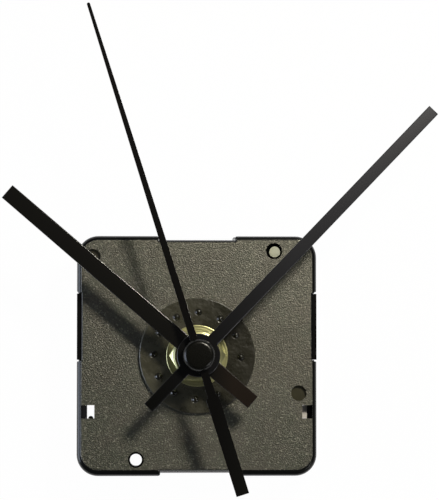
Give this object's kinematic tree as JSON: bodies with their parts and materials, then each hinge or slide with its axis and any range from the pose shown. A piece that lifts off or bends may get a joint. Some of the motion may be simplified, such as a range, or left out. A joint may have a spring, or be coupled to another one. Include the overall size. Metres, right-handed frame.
{
  "type": "quartz clock movement",
  "caption": "Square quartz clock movement with threaded centre bush, nut and washers, geared hands, snap latches and a battery bay behind.",
  "frame": {"origin": "where the hand shaft's axis meets the flat rear face", "axes": "+Z along the hand shaft towards the viewer, +Y towards twelve o'clock, +X towards three o'clock"},
  "size_m": [0.1007, 0.1132, 0.0312],
  "materials": {
    "front_housing": "matte",
    "rear_cover": "gloss",
    "threaded_bush": "satin",
    "rubber_washer": "matte",
    "flat_washer": "satin",
    "hex_nut": "satin",
    "train_bridge": "satin",
    "stator": "satin",
    "coil_core": "satin",
    "coil_bobbin": "satin",
    "coil_winding": "satin",
    "circuit_board": "satin",
    "chip_cap": "satin",
    "quartz_crystal": "satin",
    "contact_positive": "satin",
    "contact_negative": "satin",
    "rotor_pinion": "satin",
    "rotor_magnet": "satin",
    "step_wheel": "satin",
    "second_shaft": "polished",
    "second_wheel": "satin",
    "second_hand": "satin",
    "hand_cap": "satin",
    "third_wheel": "satin",
    "centre_wheel": "satin",
    "clutch_spring": "satin",
    "minute_pipe": "satin",
    "minute_hand": "satin",
    "motion_wheel": "satin",
    "setting_knob": "satin",
    "hour_wheel": "satin",
    "hour_hand": "satin"
  },
  "bodies": {
    "case": {"front_housing": "front_housing", "rear_cover": "rear_cover", "threaded_bush": "threaded_bush", "rubber_washer": "rubber_washer", "flat_washer": "flat_washer", "hex_nut": "hex_nut", "train_bridge": "train_bridge", "stator": "stator", "coil_core": "coil_core", "coil_bobbin": "coil_bobbin", "coil_winding": "coil_winding", "circuit_board": "circuit_board", "chip_cap": "chip_cap", "quartz_crystal": "quartz_crystal", "contact_positive": "contact_positive", "contact_negative": "contact_negative"},
    "rotor": {"rotor_pinion": "rotor_pinion", "rotor_magnet": "rotor_magnet"},
    "step": {"step_wheel": "step_wheel"},
    "seconds": {"second_shaft": "second_shaft", "second_wheel": "second_wheel", "second_hand": "second_hand", "hand_cap": "hand_cap"},
    "third": {"third_wheel": "third_wheel"},
    "centre": {"centre_wheel": "centre_wheel"},
    "minutes": {"minute_pipe": "minute_pipe", "clutch_spring": "clutch_spring", "minute_hand": "minute_hand"},
    "setting": {"motion_wheel": "motion_wheel", "setting_knob": "setting_knob"},
    "hours": {"hour_wheel": "hour_wheel", "hour_hand": "hour_hand"}
  },
  "joints": [
    {"name": "second_spin", "type": "hinge", "parent": "case", "child": "seconds", "pos_m": [0, 0, 0.0287], "axis": [0, 0, -1], "continuous": true},
    {"name": "step_spin", "type": "hinge", "parent": "case", "child": "step", "pos_m": [-0.00148, 0.00837, 0.0034], "axis": [0, 0, -1], "continuous": true},
    {"name": "rotor_spin", "type": "hinge", "parent": "case", "child": "rotor", "pos_m": [-0.0024, 0.0143, 0.0054], "axis": [0, 0, -1], "continuous": true},
    {"name": "third_spin", "type": "hinge", "parent": "case", "child": "third", "pos_m": [0.0078, 0.00449, 0.0058], "axis": [0, 0, -1], "continuous": true},
    {"name": "centre_spin", "type": "hinge", "parent": "case", "child": "centre", "pos_m": [0, 0, 0.0088], "axis": [0, 0, -1], "continuous": true},
    {"name": "minute_spin", "type": "hinge", "parent": "case", "child": "minutes", "pos_m": [0, 0, 0.0263], "axis": [0, 0, -1], "continuous": true},
    {"name": "setting_spin", "type": "hinge", "parent": "case", "child": "setting", "pos_m": [-0.0078, 0.00449, 0.0008], "axis": [0, 0, -1], "continuous": true},
    {"name": "hour_spin", "type": "hinge", "parent": "case", "child": "hours", "pos_m": [0, 0, 0.0239], "axis": [0, 0, -1], "continuous": true}
  ],
  "couplings": [
    {"joint": "step_spin", "follows": "second_spin", "ratio": -7.5},
    {"joint": "rotor_spin", "follows": "second_spin", "ratio": 30},
    {"joint": "third_spin", "follows": "second_spin", "ratio": -0.125},
    {"joint": "centre_spin", "follows": "second_spin", "ratio": 0.016667},
    {"joint": "setting_spin", "follows": "minute_spin", "ratio": -0.33333},
    {"joint": "hour_spin", "follows": "minute_spin", "ratio": 0.083333}
  ]
}
